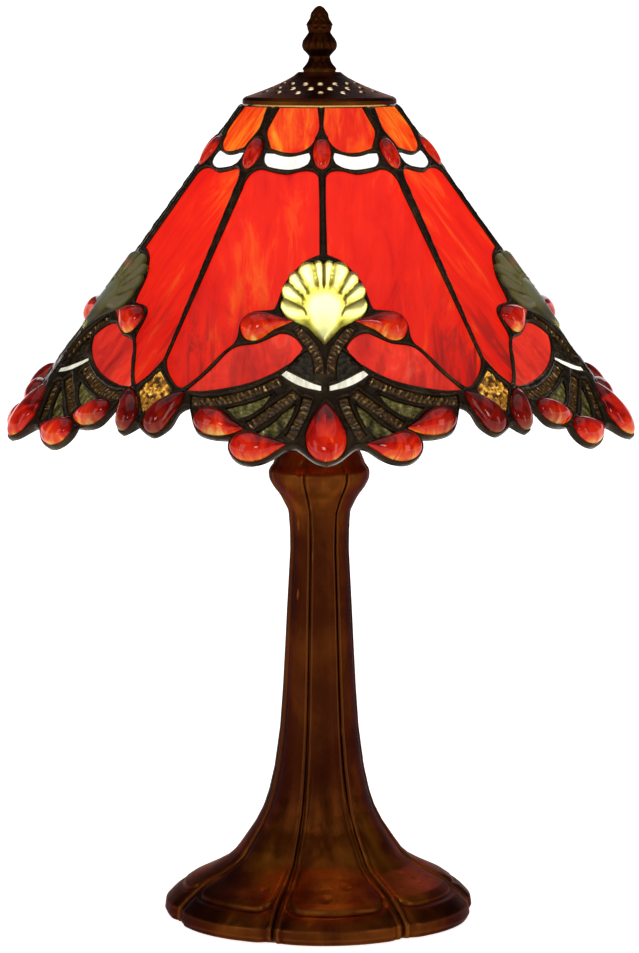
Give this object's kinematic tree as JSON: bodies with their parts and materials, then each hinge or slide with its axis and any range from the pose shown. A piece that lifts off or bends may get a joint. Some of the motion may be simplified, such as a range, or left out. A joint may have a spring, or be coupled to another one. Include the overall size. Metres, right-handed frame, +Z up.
{
  "type": "table lamp",
  "caption": "Table lamp with a fluted, lobed bronze-painted column and a flat-sided conical shade of leaded stained glass under a vented cap and finial.",
  "frame": {"origin": "centre of the felt pad's underside, on the column's axis", "axes": "+Z up along the column; -Y is the front, where one shell motif of the shade is centred"},
  "size_m": [0.3136, 0.3183, 0.4572],
  "materials": {
    "bronze_paint": "dark bronze paint with a coppery rub, satin",
    "felt": "black felt",
    "zinc_steel": "zinc plated",
    "brass": "bright, slightly aged",
    "harp_brass": "antique bronze plated",
    "black_rubber": "matte",
    "liner_card": "pressed fibre card",
    "phenolic": "moulded phenolic",
    "bulb_envelope": "clear, lit",
    "bulb_metal": "bright",
    "filament_metal": "glowing",
    "dark_lead": "solder with dark bronze patina, glossy",
    "red_glass": "streaky red sheet",
    "red_leaf_glass": "streaky rose red sheet",
    "orange_red_glass": "streaky orange red sheet",
    "ruby_glass": "cast ruby jewel",
    "opal_glass": "white opal sheet",
    "shell_glass": "pressed pale yellow",
    "amber_glass": "rippled amber sheet",
    "diamond_glass": "glue-chip amber",
    "green_glass": "grey green cathedral",
    "dark_glass": "dark seedy sheet"
  },
  "bodies": {
    "base": {"column_casting": "bronze_paint", "felt_pad": "felt", "bottom_plate": "zinc_steel", "threaded_pipe": "zinc_steel", "bottom_nut": "zinc_steel", "lock_washer": "zinc_steel", "top_nut": "brass", "cord_grommet": "black_rubber", "harp_saddle": "harp_brass", "socket_cap": "brass", "socket_shell": "brass", "socket_liner": "liner_card", "switch_body": "phenolic", "switch_bushing": "brass", "socket_screw_shell": "brass", "socket_centre_contact": "brass"},
    "knob": {"turn_knob": "phenolic"},
    "bulb": {"bulb_glass": "bulb_envelope", "bulb_base": "bulb_metal", "bulb_insulator": "phenolic", "bulb_contact": "bulb_metal", "bulb_stem": "bulb_envelope", "bulb_filament": "filament_metal"},
    "harp": {"harp_wire": "harp_brass"},
    "left_ferrule": {"ferrule_left": "harp_brass"},
    "right_ferrule": {"ferrule_right": "harp_brass"},
    "stud": {"harp_stud": "harp_brass"},
    "wheel": {"support_wheel": "brass"},
    "shade": {"shade_leading": "dark_lead", "shade_crown_ring": "brass", "crown_petal_glass": "orange_red_glass", "white_slip_glass": "opal_glass", "crown_ruby_ovals": "ruby_glass", "red_panel_glass": "red_glass", "red_leaf_glass": "red_leaf_glass", "shell_glass": "shell_glass", "shell_side_drops": "ruby_glass", "amber_scroll_glass": "amber_glass", "dark_infill_glass": "dark_glass", "white_sliver_glass": "opal_glass", "amber_upper_strips": "amber_glass", "amber_middle_strips": "amber_glass", "amber_inner_strips": "amber_glass", "green_upper_wedges": "green_glass", "green_lower_wedges": "green_glass", "centre_ruby_drops": "ruby_glass", "inner_ruby_drops": "ruby_glass", "outer_ruby_drops": "ruby_glass", "flank_ruby_drops": "ruby_glass", "amber_diamond_glass": "diamond_glass"},
    "cap": {"vent_cap": "bronze_paint"},
    "washer": {"finial_washer": "brass"},
    "finial": {"finial": "bronze_paint", "finial_insert": "brass"}
  },
  "joints": [
    {"name": "knob_turn", "type": "hinge", "parent": "base", "child": "knob", "pos_m": [0, 0.028, 0.266], "axis": [0, 1, 0], "continuous": true},
    {"name": "bulb_lift", "type": "slide", "parent": "base", "child": "bulb", "axis": [0, 0, 1], "range_m": [0, 0.024]},
    {"name": "harp_lift", "type": "slide", "parent": "base", "child": "harp", "axis": [0, 0, 1], "range_m": [0, 0.02]},
    {"name": "left_ferrule_slide", "type": "slide", "parent": "harp", "child": "left_ferrule", "axis": [0, 0, 1], "range_m": [0, 0.012]},
    {"name": "right_ferrule_slide", "type": "slide", "parent": "harp", "child": "right_ferrule", "axis": [0, 0, 1], "range_m": [0, 0.012]},
    {"name": "shade_swivel", "type": "hinge", "parent": "harp", "child": "stud", "pos_m": [0, 0, 0.3985], "axis": [0, 0, 1], "continuous": true},
    {"name": "wheel_lift", "type": "slide", "parent": "stud", "child": "wheel", "axis": [0, 0, 1], "range_m": [0, 0.036]},
    {"name": "shade_lift", "type": "slide", "parent": "wheel", "child": "shade", "axis": [0, 0, 1], "range_m": [0, 0.18]},
    {"name": "cap_lift", "type": "slide", "parent": "shade", "child": "cap", "axis": [0, 0, 1], "range_m": [0, 0.03]},
    {"name": "washer_rise", "type": "slide", "parent": "cap", "child": "washer", "axis": [0, 0, 1], "range_m": [0, 0.008]},
    {"name": "finial_turn", "type": "hinge", "parent": "washer", "child": "finial", "pos_m": [0, 0, 0.4305], "axis": [0, 0, 1], "range_deg": [0, 3060]}
  ],
  "couplings": [
    {"joint": "washer_rise", "follows": "finial_turn", "m_per_rad": 0.00014972}
  ]
}
